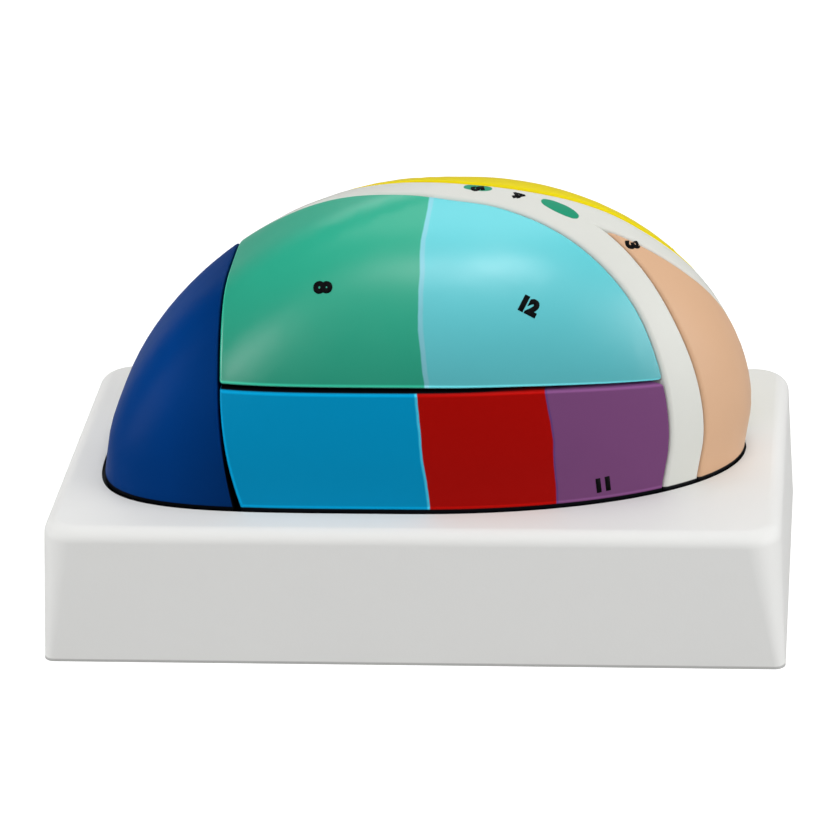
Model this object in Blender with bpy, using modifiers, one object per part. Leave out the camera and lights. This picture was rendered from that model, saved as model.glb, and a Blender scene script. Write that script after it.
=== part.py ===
"""Thalamus model on a display base, as a Blender model.

The thalamus is an egg-shaped body that comes apart into six blocks, one for each
group of nuclei. The blocks stand side by side in a shallow well in a moulded base.
Units are metres. +Z is up, +X points to the front (anterior) end of the body, and
-Y to the side that the viewer sees. The origin is under the middle of the base.
"""

from math import asin, cos, pi, radians, sin, sqrt

import bmesh
import bpy
from mathutils import Vector
from mathutils.bvhtree import BVHTree
from mathutils.geometry import delaunay_2d_cdt

# Body: plan outline, measured from the body's centre
REAR_LENGTH = 0.0842
FRONT_LENGTH = 0.0858
NEAR_DEPTH = 0.0430
FAR_DEPTH = 0.0357
REAR_SQUARENESS = 4.25
FRONT_SQUARENESS = 2.04

# Body: side profile, measured from the top of the base
BELLY_HEIGHT = 0.0104
CROWN_HEIGHT = 0.0655
CROWN_POWER = 1.625
FORWARD_LEAN = 0.182

# Body: how finely its surface is divided
CROWN_RINGS = 20
SHARP_ANGLE = radians(38)
CORNER_TURN = radians(35)
RIM_STEP = 0.0040
RIM_ROOM = 0.0030
INNER_STEP = 0.0056
STRETCH = 20.0
WALL_STRETCH = 2.0
WALL_STEP = 0.0045
WALL_SLOPE = 0.2
FLATNESS = 2e-5
SMALLEST_PATCH = 2e-6
CLOSE_CORNERS = 0.0012

# Base
END_MARGIN = 0.0110
NEAR_MARGIN = 0.0123
FAR_MARGIN = 0.0196
BASE_HEIGHT = 0.0375
BASE_TOP_CORNER = 0.0095
BASE_FOOT_CORNER = 0.0028
BASE_EDGE_RADIUS = 0.0038
BASE_DRAFT = 0.030
BASE_WALL = 0.003
CORNER_STEPS = 8
EDGE_STEPS = 5

# Well in the base, and the feet of the blocks in it
WELL_DEPTH = 0.0010
WELL_CLEARANCE = 0.0007
SEAT_GAP = 0.0003

# Splits between the blocks
SPLIT_GAP = 0.0004
TIER_GAP = 0.0008
REAR_GAP = 0.0006
EDGE_RADIUS = 0.0009
EDGE_SEGMENTS = 2
REAR_CUT = -0.0500
REAR_FLARE = 0.0046
REAR_OPENING = 0.0010
TIER_HEIGHT = 0.0324
TIER_DROP_START = 0.020
TIER_DROP = 0.0024
TIER_DROP_LENGTH = 0.043
TIER_OVERRUN = 1.3

# Courses of the upright splits at the top of the base, from rear to front, from the body's
# centre in shares of its length and depth. The splits lean forward with the body.
LAMINA_NEAR_COURSE = [
    (-0.3541, 0.1779), (-0.2882, 0.1461), (-0.2188, 0.0864), (-0.1659, 0.0254), (-0.0982, -0.0584),
    (-0.0247, -0.1017), (0.0576, -0.1296), (0.1576, -0.1753), (0.2312, -0.2186), (0.2929, -0.2630),
    (0.3400, -0.3088), (0.3724, -0.3405),
]
LAMINA_FAR_COURSE = [
    (-0.3541, 0.2732), (-0.2894, 0.2414), (-0.2188, 0.1779), (-0.1541, 0.0953), (-0.0894, 0.0356),
    (-0.0247, -0.0102), (0.0400, -0.0305), (0.1106, -0.0330), (0.1812, -0.0178), (0.2400, -0.0038),
    (0.2988, 0.0051), (0.3576, 0.0343), (0.3988, 0.0762), (0.4400, 0.1296),
]
WEDGE_NEAR_COURSE = [
    (0.2165, -0.1055), (0.2465, -0.1258), (0.3024, -0.1728), (0.3576, -0.2224), (0.4012, -0.2541),
    (0.4288, -0.2732),
]
WEDGE_FAR_COURSE = [
    (0.2165, -0.1055), (0.2559, -0.0928), (0.3047, -0.0762), (0.3512, -0.0508), (0.3882, -0.0191),
    (0.4459, 0.0445),
]

# Pegs on the lower tier that locate the upper tier
PEG_STATIONS = [(-0.032, -0.016), (0.034, -0.023)]
PEG_DIAMETER = 0.006
PEG_HEIGHT = 0.006
PEG_CLEARANCE = 0.0003
PEG_TIP_CHAMFER = 0.0008
PEG_SIDES = 24

# Painted fields on the tiers: where each colour ends, at the tier split and at the foot
GREEN_END = 0.0032
BLUE_END = (0.0021, 0.0050)
RED_END = (0.0354, 0.0379)

# Worked out from the values above
BODY_CENTRE_X = (REAR_LENGTH - FRONT_LENGTH) / 2
BASE_WIDTH = REAR_LENGTH + FRONT_LENGTH + 2 * END_MARGIN
BASE_DEPTH = NEAR_DEPTH + FAR_DEPTH + NEAR_MARGIN + FAR_MARGIN
BODY_CENTRE_Y = NEAR_MARGIN + NEAR_DEPTH - BASE_DEPTH / 2
FOOT = -WELL_DEPTH + SEAT_GAP
REACH = 3 * (BASE_WIDTH + BASE_DEPTH)


def clear_scene():
    for obj in list(bpy.data.objects):
        bpy.data.objects.remove(obj, do_unlink=True)


def make_collection(name):
    collection = bpy.data.collections.new(name)
    bpy.context.scene.collection.children.link(collection)
    return collection


def make_material(name, colour, roughness):
    material = bpy.data.materials.new(name)
    material.use_nodes = True
    shader = material.node_tree.nodes["Principled BSDF"]
    shader.inputs["Base Color"].default_value = (*colour, 1.0)
    shader.inputs["Roughness"].default_value = roughness
    shader.inputs["Metallic"].default_value = 0.0
    material.diffuse_color = (*colour, 1.0)
    return material


def add_object(name, bm, collection):
    bmesh.ops.recalc_face_normals(bm, faces=bm.faces[:])
    mesh = bpy.data.meshes.new(name)
    bm.to_mesh(mesh)
    bm.free()
    obj = bpy.data.objects.new(name, mesh)
    collection.objects.link(obj)
    return obj


def add_cutter(name, bm):
    cutter = add_object(name, bm, CUTTERS)
    cutter.display_type = "WIRE"
    cutter.hide_render = True
    return cutter


# Outlines and courses

def girth(z):
    """Share of the full plan outline that the body has at height z over the base."""
    if z <= BELLY_HEIGHT:
        return 1.0
    rise = min(1.0, (z - BELLY_HEIGHT) / CROWN_HEIGHT)
    return sqrt(max(0.0, 1.0 - rise ** CROWN_POWER))


def outline_point(angle, share, z, grow=0.0):
    """Point of the plan outline: squarer at the rear, rounder at the front."""
    along, across = cos(angle), sin(angle)
    power = REAR_SQUARENESS if along < 0 else FRONT_SQUARENESS
    radius = (abs(along) ** power + abs(across) ** power) ** (-1 / power)
    length = REAR_LENGTH if along < 0 else FRONT_LENGTH
    depth = NEAR_DEPTH if across < 0 else FAR_DEPTH
    x = BODY_CENTRE_X + FORWARD_LEAN * max(z, 0.0) + (share * length + grow) * along * radius
    return x, BODY_CENTRE_Y + (share * depth + grow) * across * radius


def grid_angle(a, b):
    """Angle in plan of a crossing of the square grid, even along each of its rings."""
    ring = max(abs(a), abs(b), 1)
    if a == ring:
        steps = b
    elif b == ring:
        steps = 2 * ring - a
    elif a == -ring:
        steps = 4 * ring - b
    else:
        steps = 6 * ring + a
    return (steps % (8 * ring)) * pi / (4 * ring)


def body_outline(share, z, grow=0.0):
    return [outline_point(2 * pi * i / (8 * CROWN_RINGS), share, z, grow) for i in range(8 * CROWN_RINGS)]


def smooth_course(points, steps=6):
    """Even curve through the points, with straight tails that run far out of the body."""
    ends = [Vector(points[0]) * 2 - Vector(points[1])] + [Vector(p) for p in points]
    ends.append(Vector(points[-1]) * 2 - Vector(points[-2]))
    course = []
    for before, start, stop, after in zip(ends, ends[1:], ends[2:], ends[3:]):
        for i in range(steps):
            t = i / steps
            course.append(
                0.5 * (2 * start + (stop - before) * t
                       + (2 * before - 5 * start + 4 * stop - after) * t ** 2
                       + (3 * start - before - 3 * stop + after) * t ** 3)
            )
    course.append(Vector(points[-1]))
    return course


def with_tails(course, rear=True, front=True):
    out = list(course)
    if rear:
        out.insert(0, out[0] + (out[0] - out[1]).normalized() * REACH)
    if front:
        out.append(out[-1] + (out[-1] - out[-2]).normalized() * REACH)
    return out


def offset_course(course, shift):
    """Course moved sideways by shift, to its left when it runs from rear to front."""
    moved = []
    for i, point in enumerate(course):
        before = course[max(i - 1, 0)]
        after = course[min(i + 1, len(course) - 1)]
        along = (after - before).normalized()
        moved.append(point + Vector((-along.y, along.x)) * shift)
    return moved


def in_body(shares):
    """Places in plan of points that are given in shares of the body's length and depth."""
    length = REAR_LENGTH + FRONT_LENGTH
    depth = NEAR_DEPTH + FAR_DEPTH
    return [Vector((BODY_CENTRE_X + x * length, BODY_CENTRE_Y + y * depth)) for x, y in shares]


# Solids

def loft(rings):
    """Closed skin over rings of equal point counts, with a flat face on either end."""
    bm = bmesh.new()
    loops = [[bm.verts.new(point) for point in ring] for ring in rings]
    for low, high in zip(loops, loops[1:]):
        for i in range(len(low)):
            bm.faces.new((low[i - 1], low[i], high[i], high[i - 1]))
    bm.faces.new(list(reversed(loops[0])))
    bm.faces.new(loops[-1])
    return bm


def body_mesh():
    """The whole egg-shaped body, from its feet in the well to its crown.

    The crown is a square grid bent to the outline, so its faces stay even up to the top.
    """
    bm = bmesh.new()
    count = CROWN_RINGS
    grid = {}
    for a in range(-count, count + 1):
        for b in range(-count, count + 1):
            ring = max(abs(a), abs(b))
            share = sin(pi / 2 * ring / count)
            z = BELLY_HEIGHT + CROWN_HEIGHT * (1 - share ** 2) ** (1 / CROWN_POWER)
            x, y = outline_point(grid_angle(a, b), share, z)
            grid[a, b] = bm.verts.new((x, y, BASE_HEIGHT + z))
    for a in range(-count, count):
        for b in range(-count, count):
            bm.faces.new((grid[a, b], grid[a + 1, b], grid[a + 1, b + 1], grid[a, b + 1]))
    edge = [key for key in grid if max(abs(key[0]), abs(key[1])) == count]
    edge.sort(key=lambda key: grid_angle(*key))
    upper = [grid[key] for key in edge]
    for z in (BELLY_HEIGHT / 2, 0.0, FOOT):
        lower = []
        for key in edge:
            x, y = outline_point(grid_angle(*key), 1.0, z)
            lower.append(bm.verts.new((x, y, BASE_HEIGHT + z)))
        for i in range(len(edge)):
            bm.faces.new((lower[i - 1], lower[i], upper[i], upper[i - 1]))
        upper = lower
    bmesh.ops.triangulate(bm, faces=bm.faces[:])
    bm.faces.new(upper)
    return bm


def plan_prism(name, outline, low, high, lean=0.0):
    """Cutter with an outline in plan, from height low to height high, that may lean forward."""
    bm = loft([[(x + lean * (z - BASE_HEIGHT), y, z) for x, y in outline] for z in (low, high)])
    return add_cutter(name, bm)


def side_prism(name, outline):
    """Cutter with an outline in the XZ plane, right across the body."""
    bm = loft([[(x, y, z) for x, z in outline] for y in (-REACH, REACH)])
    return add_cutter(name, bm)


def carve(obj, cutter, operation):
    modifier = obj.modifiers.new(cutter.name, "BOOLEAN")
    modifier.operation = operation
    modifier.solver = "EXACT"
    modifier.object = cutter


def bake(obj):
    """Replace the object's mesh by what its modifiers make of it."""
    graph = bpy.context.evaluated_depsgraph_get()
    mesh = bpy.data.meshes.new_from_object(obj.evaluated_get(graph))
    obj.modifiers.clear()
    obj.data = mesh
    mesh.name = obj.name


# Rounded edges

def find_patches(bm):
    """Number the patches of the surface, which sharp edges part, and list their faces.

    A sliver left by a cut counts with the neighbour that it shares most of its edge with.
    """
    patches = []
    number = {}
    for start in bm.faces:
        if start in number:
            continue
        number[start] = len(patches)
        patch = [start]
        for face in patch:
            for edge in face.edges:
                if edge.calc_face_angle(0.0) > SHARP_ANGLE:
                    continue
                for other in edge.link_faces:
                    if other not in number:
                        number[other] = len(patches)
                        patch.append(other)
        patches.append(patch)
    for patch in sorted(patches, key=lambda faces: sum(face.calc_area() for face in faces)):
        if sum(face.calc_area() for face in patch) > SMALLEST_PATCH:
            break
        shared = {}
        for face in patch:
            for edge in face.edges:
                for other in edge.link_faces:
                    if number[other] != number[patch[0]]:
                        shared[number[other]] = shared.get(number[other], 0.0) + edge.calc_length()
        host = max(shared, key=shared.get)
        for face in patch:
            number[face] = host
        patches[host].extend(patch)
        patch.clear()
    return [patch for patch in patches if patch], number


def find_rims(bm, number):
    return [edge for edge in bm.edges if len({number[face] for face in edge.link_faces}) > 1]


def rim_chains(rims):
    """Runs of rim edges between corners, each a list of vertices."""
    links = {}
    for edge in rims:
        for vert in edge.verts:
            links.setdefault(vert, []).append(edge)

    def is_corner(vert):
        edges = links[vert]
        if len(edges) != 2:
            return True
        first, second = ((edge.other_vert(vert).co - vert.co).normalized() for edge in edges)
        return first.dot(second) > -cos(CORNER_TURN)

    done = set()
    chains = []
    for start in [vert for vert in links if is_corner(vert)] + list(links):
        for edge in links[start]:
            if edge in done:
                continue
            chain = [start]
            while edge is not None:
                done.add(edge)
                chain.append(edge.other_vert(chain[-1]))
                if is_corner(chain[-1]) or chain[-1] is start:
                    break
                edge = next((e for e in links[chain[-1]] if e not in done), None)
            chains.append(chain)
    return chains


def run_length(chain):
    return sum((after.co - before.co).length for before, after in zip(chain, chain[1:]))


def is_straight(chain):
    if chain[0] is chain[-1]:
        return False
    start = chain[0].co
    along = (chain[-1].co - start).normalized()
    offsets = [(vert.co - start) - along * (vert.co - start).dot(along) for vert in chain]
    return max(offset.length for offset in offsets) < FLATNESS


def even_points(chain, step):
    """Points at even steps along a run of vertices, without its ends."""
    lengths = [0.0]
    for before, after in zip(chain, chain[1:]):
        lengths.append(lengths[-1] + (after.co - before.co).length)
    parts = max(1 if chain[0] is not chain[-1] else 3, round(lengths[-1] / step))
    points = []
    k = 0
    for i in range(1, parts):
        wanted = lengths[-1] * i / parts
        while lengths[k + 1] < wanted:
            k += 1
        share = (wanted - lengths[k]) / (lengths[k + 1] - lengths[k])
        points.append(chain[k].co.lerp(chain[k + 1].co, share))
    return points


def unroll_egg(point):
    """Place in a flat map of the egg: its crown is the middle and its feet the edge."""
    z = point.z - BASE_HEIGHT
    share = max(girth(z), 1e-4)
    x = point.x - BODY_CENTRE_X - FORWARD_LEAN * max(z, 0.0)
    y = point.y - BODY_CENTRE_Y
    reach = asin(share) / (pi / 2) if z > BELLY_HEIGHT else 1 + (BELLY_HEIGHT - z) / REAR_LENGTH
    return Vector((x / share * reach, y / share * reach))


def unroll_wall(point):
    """Place in a flat map of a wall that leans with the body, stretched along its run."""
    return Vector(((point.x - FORWARD_LEAN * (point.z - BASE_HEIGHT)) * WALL_STRETCH, point.z))


def patch_map(patch):
    """How a patch is laid flat, and the way in which points are found inside it.

    Neither is needed where it is flat already. A patch that is straight across the body
    needs no inner points: it is stretched the other way, so its triangles run across.
    """
    largest = max(face.calc_area() for face in patch)
    normals = [face.normal for face in patch if face.calc_area() > 0.02 * largest]
    mean = sum((face.normal * face.calc_area() for face in patch), Vector()).normalized()
    if min(n.dot(mean) for n in normals) > cos(radians(1.5)):
        return None, None
    if max(abs(n.y) for n in normals) < 0.02:
        if abs(mean.z) > abs(mean.x):
            return (lambda p: Vector((p.x * STRETCH, p.y))), None
        return (lambda p: Vector((p.y, p.z * STRETCH))), None
    if max(abs(n.z) for n in normals) < WALL_SLOPE:
        return unroll_wall, wall_points
    return unroll_egg, skin_points


def is_clear(point, others, room):
    return all((point - other).length > room for other in others)


def skin_points(patch, rim_points):
    """The patch's own points, thinned out and clear of its border."""
    points = []
    for vert in sorted({v for face in patch for v in face.verts}, key=lambda v: tuple(v.co)):
        if is_clear(vert.co, rim_points, RIM_ROOM) and is_clear(vert.co, points, INNER_STEP):
            points.append(vert.co.copy())
    return points


def wall_points(patch, rim_points):
    """Rows of points on a wall that runs along the body, clear of its border."""
    verts = sorted({v for face in patch for v in face.verts}, key=lambda v: tuple(v.co))
    places = {vert: i for i, vert in enumerate(verts)}
    wall = BVHTree.FromPolygons([v.co for v in verts], [[places[v] for v in face.verts] for face in patch])
    low = [min(v.co[axis] for v in verts) for axis in range(3)]
    high = [max(v.co[axis] for v in verts) for axis in range(3)]
    points = []
    for column in range(int((high[0] - low[0]) / WALL_STEP) + 1):
        for row in range(int((high[2] - low[2]) / (WALL_STRETCH * WALL_STEP)) + 1):
            start = Vector((low[0] + WALL_STEP * column, -REACH, low[2] + WALL_STRETCH * WALL_STEP * row))
            place = wall.ray_cast(start, Vector((0.0, 1.0, 0.0)))[0]
            if place and is_clear(place, rim_points, RIM_ROOM):
                points.append(place)
    return points


def fill_patch(border, inner, lay_flat):
    """Triangles between a border and the points inside it, as places in border + inner.

    Nothing comes back if the border crosses itself once it is laid flat.
    """
    flat = [lay_flat(point) for point in border + inner]
    rim = list(range(len(border)))
    result = delaunay_2d_cdt(flat, [], [rim], 0, 1e-7, True)
    if any(len(places) != 1 for places in result[3]):
        return None
    triangles = [[result[3][i][0] for i in face] for face in result[2]]
    fence = {frozenset((i, (i + 1) % len(rim))) for i in rim}
    beside = {}
    for number, triangle in enumerate(triangles):
        for i in range(3):
            beside.setdefault(frozenset((triangle[i - 1], triangle[i])), []).append(number)
    outside = {numbers[0] for edge, numbers in beside.items() if len(numbers) == 1 and edge not in fence}
    grown = list(outside)
    for number in grown:
        triangle = triangles[number]
        for i in range(3):
            edge = frozenset((triangle[i - 1], triangle[i]))
            for other in beside[edge]:
                if edge not in fence and other not in outside:
                    outside.add(other)
                    grown.append(other)
    return [triangle for number, triangle in enumerate(triangles) if number not in outside]


def even_mesh(obj):
    """Mesh the block anew: even points on its rims, and no others close beside them."""
    bm = bmesh.new()
    bm.from_mesh(obj.data)
    bmesh.ops.remove_doubles(bm, verts=bm.verts[:], dist=0.0001)
    bmesh.ops.dissolve_degenerate(bm, edges=bm.edges[:], dist=0.0001)
    bm.normal_update()
    patches, number = find_patches(bm)
    rims = set(find_rims(bm, number))
    out = bmesh.new()
    corner = {}
    runs = {}
    rim_points = []
    chains = sorted(rim_chains(rims), key=run_length)
    for chain in chains:
        if run_length(chain) < CLOSE_CORNERS:
            joint = corner.get(chain[0]) or corner.get(chain[-1]) or out.verts.new(chain[0].co)
            corner[chain[0]] = corner[chain[-1]] = joint
            continue
        for end in (chain[0], chain[-1]):
            if end not in corner:
                corner[end] = out.verts.new(end.co)
        points = [] if is_straight(chain) else even_points(chain, RIM_STEP)
        line = [corner[chain[0]]] + [out.verts.new(point) for point in points] + [corner[chain[-1]]]
        for before, after in zip(chain, chain[1:]):
            runs[frozenset((before, after))] = line
        rim_points.extend([line[0].co.copy(), line[-1].co.copy()] + even_points(chain, RIM_ROOM / 3))
    for patch in patches:
        lines = []
        for face in patch:
            for edge in face.edges:
                line = runs.get(frozenset(edge.verts))
                if line and not any(line is other for other in lines):
                    lines.append(line)
        loop = join_lines(lines)
        lay_flat, find_points = patch_map(patch)
        inner = find_points(patch, rim_points) if find_points else []
        triangles = lay_flat and fill_patch([v.co for v in loop], inner, lay_flat)
        if not triangles:
            face = out.faces.new(loop)
            if lay_flat:
                bmesh.ops.triangulate(out, faces=[face])
            continue
        verts = loop + [out.verts.new(point) for point in inner]
        for triangle in triangles:
            out.faces.new([verts[i] for i in triangle])
    bm.free()
    bmesh.ops.recalc_face_normals(out, faces=out.faces[:])
    rim_pairs = {frozenset(pair) for line in runs.values() for pair in zip(line, line[1:])}
    weight = out.edges.layers.float.new("bevel_weight_edge")
    for edge in out.edges:
        if frozenset(edge.verts) in rim_pairs and edge.is_convex and edge.calc_face_angle(0.0) > SHARP_ANGLE:
            edge[weight] = 1.0
    out.to_mesh(obj.data)
    out.free()


def join_lines(lines):
    """One closed loop out of the runs of vertices that bound a patch."""
    rest = list(lines)
    loop = list(rest.pop(0))
    while rest:
        for line in rest:
            if line[0] is loop[-1] or line[-1] is loop[-1]:
                rest.remove(line)
                loop.extend(line[1:] if line[0] is loop[-1] else line[-2::-1])
                break
        else:
            raise ValueError("open patch border")
    return loop[:-1]


def round_edges(obj):
    bevel = obj.modifiers.new("rounded edges", "BEVEL")
    bevel.width = EDGE_RADIUS
    bevel.segments = EDGE_SEGMENTS
    bevel.limit_method = "WEIGHT"
    bevel.use_clamp_overlap = False
    bevel.loop_slide = False


# Split surfaces

def rear_course(opening=0.0, shift=0.0):
    """Rear split in the XZ plane, from below the feet to above the crown."""
    course = []
    steps = 8
    for i in range(steps + 1):
        z = FOOT + (TIER_HEIGHT - FOOT) * i / steps
        drop = (TIER_HEIGHT - z) / TIER_HEIGHT
        x = REAR_CUT + (REAR_FLARE - opening) * drop ** 2 + shift
        course.append(Vector((x, BASE_HEIGHT + z)))
    course.insert(0, Vector((course[0].x, -REACH)))
    course.append(Vector((REAR_CUT + shift, REACH)))
    return course


def tier_course(shift=0.0):
    """Split between the tiers in the XZ plane: level, then falling towards the front."""
    course = [Vector((-REACH, 0.0)), Vector((TIER_DROP_START, 0.0))]
    steps = 6
    for i in range(1, steps + 1):
        along = TIER_OVERRUN * i / steps
        course.append(Vector((TIER_DROP_START + TIER_DROP_LENGTH * along, -TIER_DROP * along ** 2)))
    course.append(course[-1] + (course[-1] - course[-2]).normalized() * REACH)
    return [Vector((p.x, BASE_HEIGHT + TIER_HEIGHT + shift + p.y)) for p in course]


def block(name, materials, prisms, removed=()):
    """One piece of the body: what the prisms leave of it."""
    obj = add_object(name, body_mesh(), PARTS)
    for prism in prisms:
        carve(obj, prism, "INTERSECT")
    for prism in removed:
        carve(obj, prism, "DIFFERENCE")
    bake(obj)
    even_mesh(obj)
    round_edges(obj)
    bake(obj)
    finish_surface(obj, materials)
    return obj


def finish_surface(obj, materials):
    obj.data.materials.clear()
    for material in materials:
        obj.data.materials.append(material)
    obj.data.shade_smooth()
    obj.data.set_sharp_from_angle(angle=SHARP_ANGLE)


def paint_fields(obj, ends):
    """Give each stretch of the block its own colour, from the rear to the front.

    Each end is where a colour stops along X, at the tier split and at the foot.
    """
    bm = bmesh.new()
    bm.from_mesh(obj.data)
    planes = []
    for upper, lower in ends:
        at_split = Vector((upper, 0.0, BASE_HEIGHT + TIER_HEIGHT))
        down = Vector((lower - upper, 0.0, -TIER_HEIGHT))
        normal = Vector((0.0, 1.0, 0.0)).cross(down).normalized()
        if normal.x < 0:
            normal.negate()
        planes.append((at_split, normal))
        bmesh.ops.bisect_plane(
            bm, geom=bm.verts[:] + bm.edges[:] + bm.faces[:], plane_co=at_split, plane_no=normal
        )
    bmesh.ops.dissolve_degenerate(bm, edges=bm.edges[:], dist=0.00002)
    for face in bm.faces:
        centre = face.calc_center_median()
        face.material_index = sum(1 for point, normal in planes if (centre - point).dot(normal) > 0)
    bm.to_mesh(obj.data)
    bm.free()


# Pegs between the tiers

def peg_mesh(station, diameter, low, high, chamfer):
    """Upright round peg with a chamfered tip."""
    bm = bmesh.new()
    bmesh.ops.create_cone(
        bm, cap_ends=True, segments=PEG_SIDES, radius1=diameter / 2, radius2=diameter / 2, depth=high - low
    )
    x, y = station
    bmesh.ops.translate(bm, verts=bm.verts[:], vec=(x, y + BODY_CENTRE_Y, (low + high) / 2))
    if chamfer:
        tip = [edge for edge in bm.edges if min(v.co.z for v in edge.verts) > high - chamfer / 2]
        bmesh.ops.bevel(bm, geom=tip, offset=chamfer, segments=1, profile=0.5, affect="EDGES")
    return bm


def fit_pegs(lower, upper):
    """Raise the pegs on the lower block and sink their sockets into the upper one."""
    seat = BASE_HEIGHT + TIER_HEIGHT
    for number, station in enumerate(PEG_STATIONS, 1):
        peg = add_cutter(f"peg {number}", peg_mesh(
            station, PEG_DIAMETER, seat - PEG_HEIGHT, seat + PEG_HEIGHT, PEG_TIP_CHAMFER
        ))
        socket = add_cutter(f"socket {number}", peg_mesh(
            station, PEG_DIAMETER + 2 * PEG_CLEARANCE, seat - PEG_HEIGHT,
            seat + PEG_HEIGHT + PEG_CLEARANCE, 0.0
        ))
        carve(lower, peg, "UNION")
        carve(upper, socket, "DIFFERENCE")
    for obj in (lower, upper):
        bake(obj)


# Base

def slab_ring(z, inset, drop):
    """Outline of the base at height z, moved in by inset and then by the rounding of its rim."""
    rise = z / BASE_HEIGHT
    radius = BASE_FOOT_CORNER + (BASE_TOP_CORNER - BASE_FOOT_CORNER) * min(max(rise, 0.0), 1.0) - inset / 2
    spread = BASE_DRAFT * (BASE_HEIGHT - z) - inset
    half_x = BASE_WIDTH / 2 + spread - drop
    half_y = BASE_DEPTH / 2 + spread - drop
    radius = max(radius - drop, BASE_WALL / 4)
    ring = []
    for quarter, (sign_x, sign_y) in enumerate(((1, 1), (-1, 1), (-1, -1), (1, -1))):
        for i in range(CORNER_STEPS + 1):
            angle = pi / 2 * (quarter + i / CORNER_STEPS)
            ring.append((
                sign_x * (half_x - radius) + radius * cos(angle),
                sign_y * (half_y - radius) + radius * sin(angle), z,
            ))
    return ring


def rounded_slab(name, inset, low, high, collection=None):
    """Box with drafted sides and a rounded rim, whose corners grow rounder towards the top."""
    rim = max(BASE_EDGE_RADIUS - inset, BASE_WALL / 3)
    rings = [slab_ring(low, inset, 0.0)]
    for i in range(EDGE_STEPS + 1):
        turn = pi / 2 * i / EDGE_STEPS
        rings.append(slab_ring(high - rim + rim * sin(turn), inset, rim * (1 - cos(turn))))
    return add_object(name, loft(rings), collection or CUTTERS)


def foot_prism(name, grow, low, high):
    """Prism over the foot outline of the body, grown sideways."""
    return plan_prism(name, body_outline(1.0, 0.0, grow), low, high)


def make_base(material):
    base = rounded_slab("base", 0.0, 0.0, BASE_HEIGHT, PARTS)
    floor = BASE_HEIGHT - WELL_DEPTH
    well = foot_prism("well", WELL_CLEARANCE, floor, BASE_HEIGHT + REACH)
    pocket = foot_prism("well underside", WELL_CLEARANCE + BASE_WALL, floor - BASE_WALL, REACH)
    hollow = rounded_slab("hollow", BASE_WALL, -BASE_WALL, BASE_HEIGHT - BASE_WALL)
    carve(hollow, pocket, "DIFFERENCE")
    bake(hollow)
    hollow.display_type = "WIRE"
    hollow.hide_render = True
    carve(base, well, "DIFFERENCE")
    carve(base, hollow, "DIFFERENCE")
    bake(base)
    finish_surface(base, [material])
    return base


PARTS = None
CUTTERS = None


def main():
    global CUTTERS, PARTS
    clear_scene()
    PARTS = make_collection("thalamus_model")
    CUTTERS = make_collection("cutters")
    far = 2 * REACH

    near_lamina = smooth_course(in_body(LAMINA_NEAR_COURSE))
    far_lamina = smooth_course(in_body(LAMINA_FAR_COURSE))
    near_wedge = smooth_course(in_body(WEDGE_NEAR_COURSE))
    far_wedge = smooth_course(in_body(WEDGE_FAR_COURSE))

    def side_of(course, sign, name):
        line = with_tails(course)
        outline = line + [Vector((line[-1].x, sign * far)), Vector((line[0].x, sign * far))]
        return plan_prism(name, outline, -REACH, REACH, FORWARD_LEAN)

    lateral_side = side_of(offset_course(near_lamina, -SPLIT_GAP), -1, "lateral side")
    medial_side = side_of(offset_course(far_lamina, SPLIT_GAP), 1, "medial side")
    lamina_outline = with_tails(near_lamina) + with_tails(far_lamina)[::-1]
    lamina_band = plan_prism("lamina band", lamina_outline, -REACH, REACH, FORWARD_LEAN)
    wedge_outline = with_tails(near_wedge, rear=False) + with_tails(far_wedge, rear=False)[:0:-1]
    wedge = plan_prism("wedge", wedge_outline, -REACH, REACH, FORWARD_LEAN)
    beyond_near_arm = side_of(offset_course(near_wedge, SPLIT_GAP), 1, "beyond near arm")
    before_far_arm = side_of(offset_course(far_wedge, -SPLIT_GAP), -1, "before far arm")

    rear_line = rear_course(opening=REAR_OPENING)
    front_line = rear_course(shift=REAR_GAP)
    rear_part = side_prism("rear part", rear_line + [Vector((-far, REACH)), Vector((-far, -REACH))])
    front_part = side_prism("front part", front_line + [Vector((far, REACH)), Vector((far, -REACH))])
    lower_line = tier_course()
    upper_line = tier_course(shift=TIER_GAP)
    lower_part = side_prism("lower part", lower_line + [Vector((far, -far)), Vector((-REACH, -far))])
    upper_part = side_prism("upper part", upper_line + [Vector((far, far)), Vector((-REACH, far))])

    make_base(make_material("white base", (0.80, 0.80, 0.78), 0.45))
    block("pulvinar", [make_material("navy", (0.006, 0.045, 0.175), 0.35)], [rear_part])
    upper = block("dorsal_tier", [], [lateral_side, front_part, upper_part])
    lower = block("ventral_tier", [], [lateral_side, front_part, lower_part])
    fit_pegs(lower, upper)
    paint_fields(upper, [(GREEN_END, GREEN_END)])
    paint_fields(lower, [BLUE_END, RED_END])
    finish_surface(upper, [
        make_material("green", (0.030, 0.400, 0.260), 0.35),
        make_material("cyan", (0.140, 0.560, 0.600), 0.35),
    ])
    finish_surface(lower, [
        make_material("blue", (0.0, 0.215, 0.420), 0.35),
        make_material("red", (0.300, 0.010, 0.010), 0.35),
        make_material("purple", (0.160, 0.050, 0.160), 0.35),
    ])
    white = make_material("white lamina", (0.720, 0.710, 0.660), 0.40)
    block("medullary_lamina", [white], [lamina_band, front_part], [wedge])
    peach = make_material("peach", (0.700, 0.410, 0.230), 0.35)
    block("anterior_nucleus", [peach], [beyond_near_arm, before_far_arm])
    yellow = make_material("yellow", (0.740, 0.620, 0.015), 0.35)
    block("mediodorsal_nucleus", [yellow], [medial_side, front_part])


main()
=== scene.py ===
"""Looks of the thalamus model: finely meshed blocks, paints, index numbers and studio.

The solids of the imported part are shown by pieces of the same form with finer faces.
Units are metres, in the frame of the part: +Z up, +X to the front end of the body,
-Y to the side that the viewer sees, origin under the middle of the base.
"""

from math import asin, cos, pi, radians, sin, sqrt

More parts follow.
